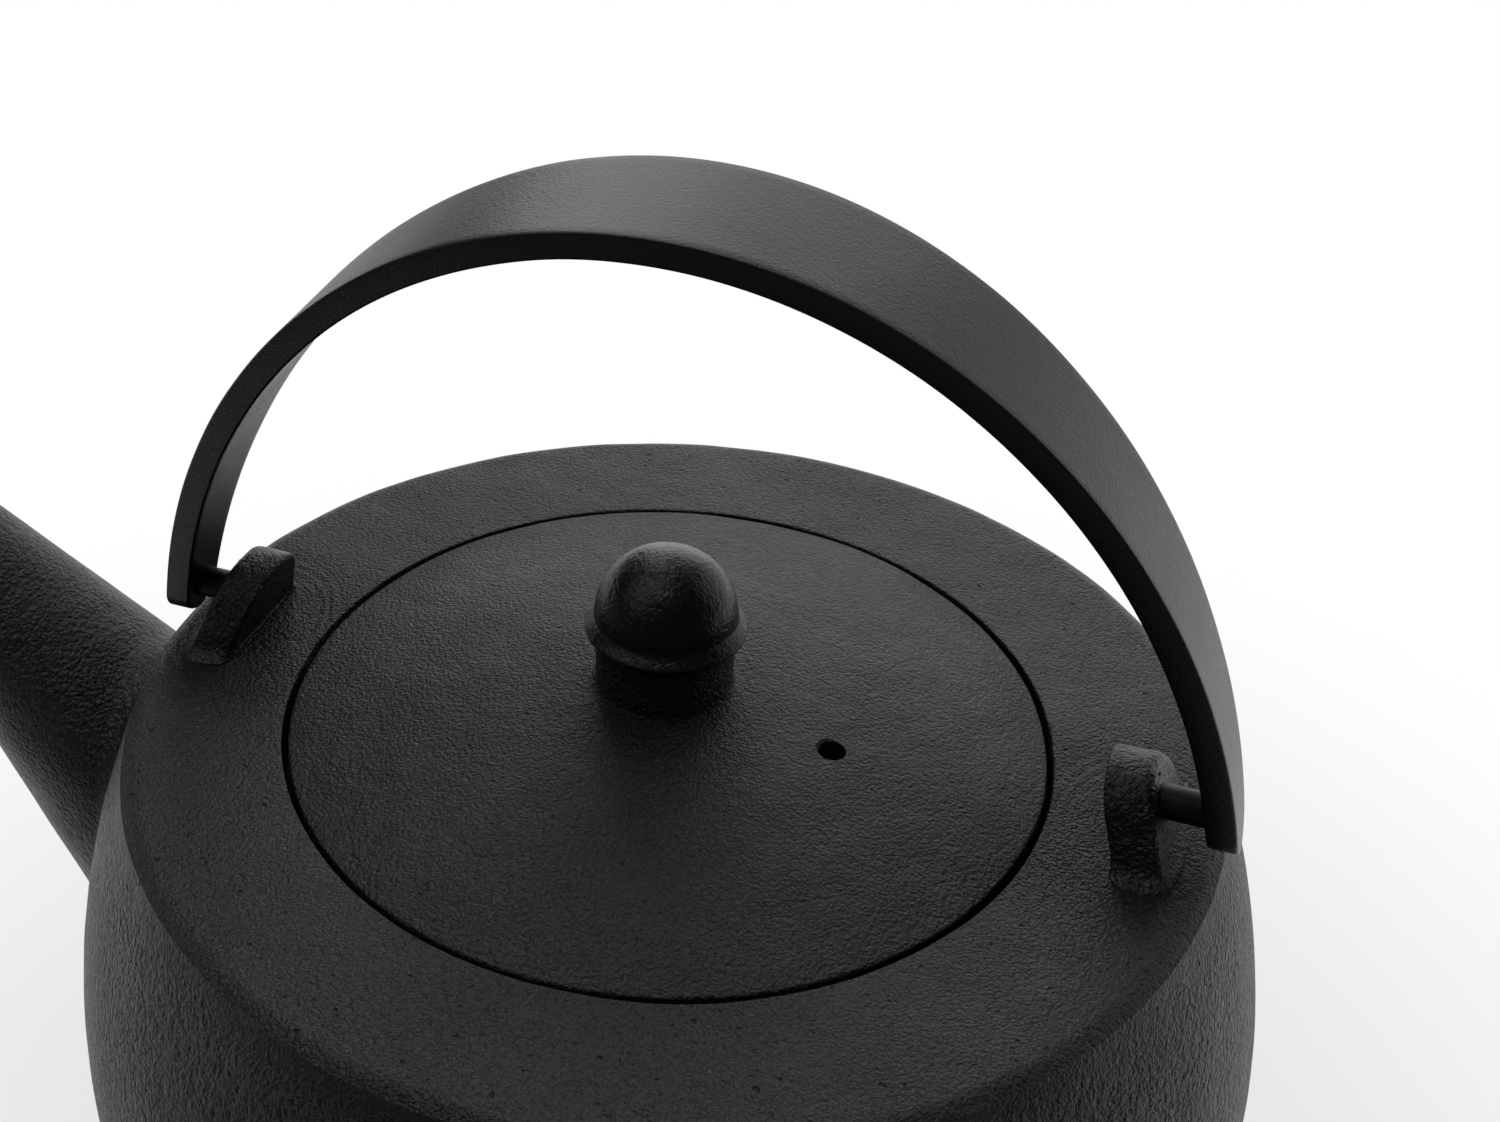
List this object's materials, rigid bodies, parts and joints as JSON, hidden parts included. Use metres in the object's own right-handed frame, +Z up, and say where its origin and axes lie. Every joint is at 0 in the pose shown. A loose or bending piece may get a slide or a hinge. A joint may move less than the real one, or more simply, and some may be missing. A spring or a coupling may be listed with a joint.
{
  "type": "cast iron teapot",
  "caption": "Round-bellied black cast iron teapot with a flat shoulder, a straight conical spout, a flush domed lid with an acorn knob, a flat swinging bail handle and a steel tea basket.",
  "frame": {"origin": "centre of the flat foot under the pot, on the table", "axes": "+Z up; X lies in the plane of the handle and the spout, with the spout towards -X"},
  "size_m": [0.1861, 0.1488, 0.1505],
  "materials": {
    "cast_iron": "matt black, fine casting grain",
    "knob_iron": "satin black, smoother than the pot",
    "strap_black": "satin black lacquer on flat steel",
    "pin_steel": "blackened steel",
    "stainless": "brushed stainless sheet"
  },
  "bodies": {
    "pot": {"pot_body": "cast_iron"},
    "handle": {"handle_strap": "strap_black", "handle_pin_left": "pin_steel", "handle_pin_right": "pin_steel"},
    "infuser": {"infuser_rim": "stainless", "infuser_wall": "stainless", "infuser_base": "stainless"},
    "lid": {"lid": "cast_iron", "lid_knob": "knob_iron", "knob_screw": "stainless", "knob_washer": "stainless"}
  },
  "joints": [
    {"name": "handle_swing", "type": "hinge", "parent": "pot", "child": "handle", "pos_m": [0, 0, 0.0868], "axis": [1, 0, 0], "range_deg": [-83, 83]},
    {"name": "infuser_lift", "type": "slide", "parent": "pot", "child": "infuser", "axis": [0, 0, 1], "range_m": [0, 0.02]},
    {"name": "lid_lift", "type": "slide", "parent": "infuser", "child": "lid", "axis": [0, 0, 1], "range_m": [0, 0.02]}
  ]
}
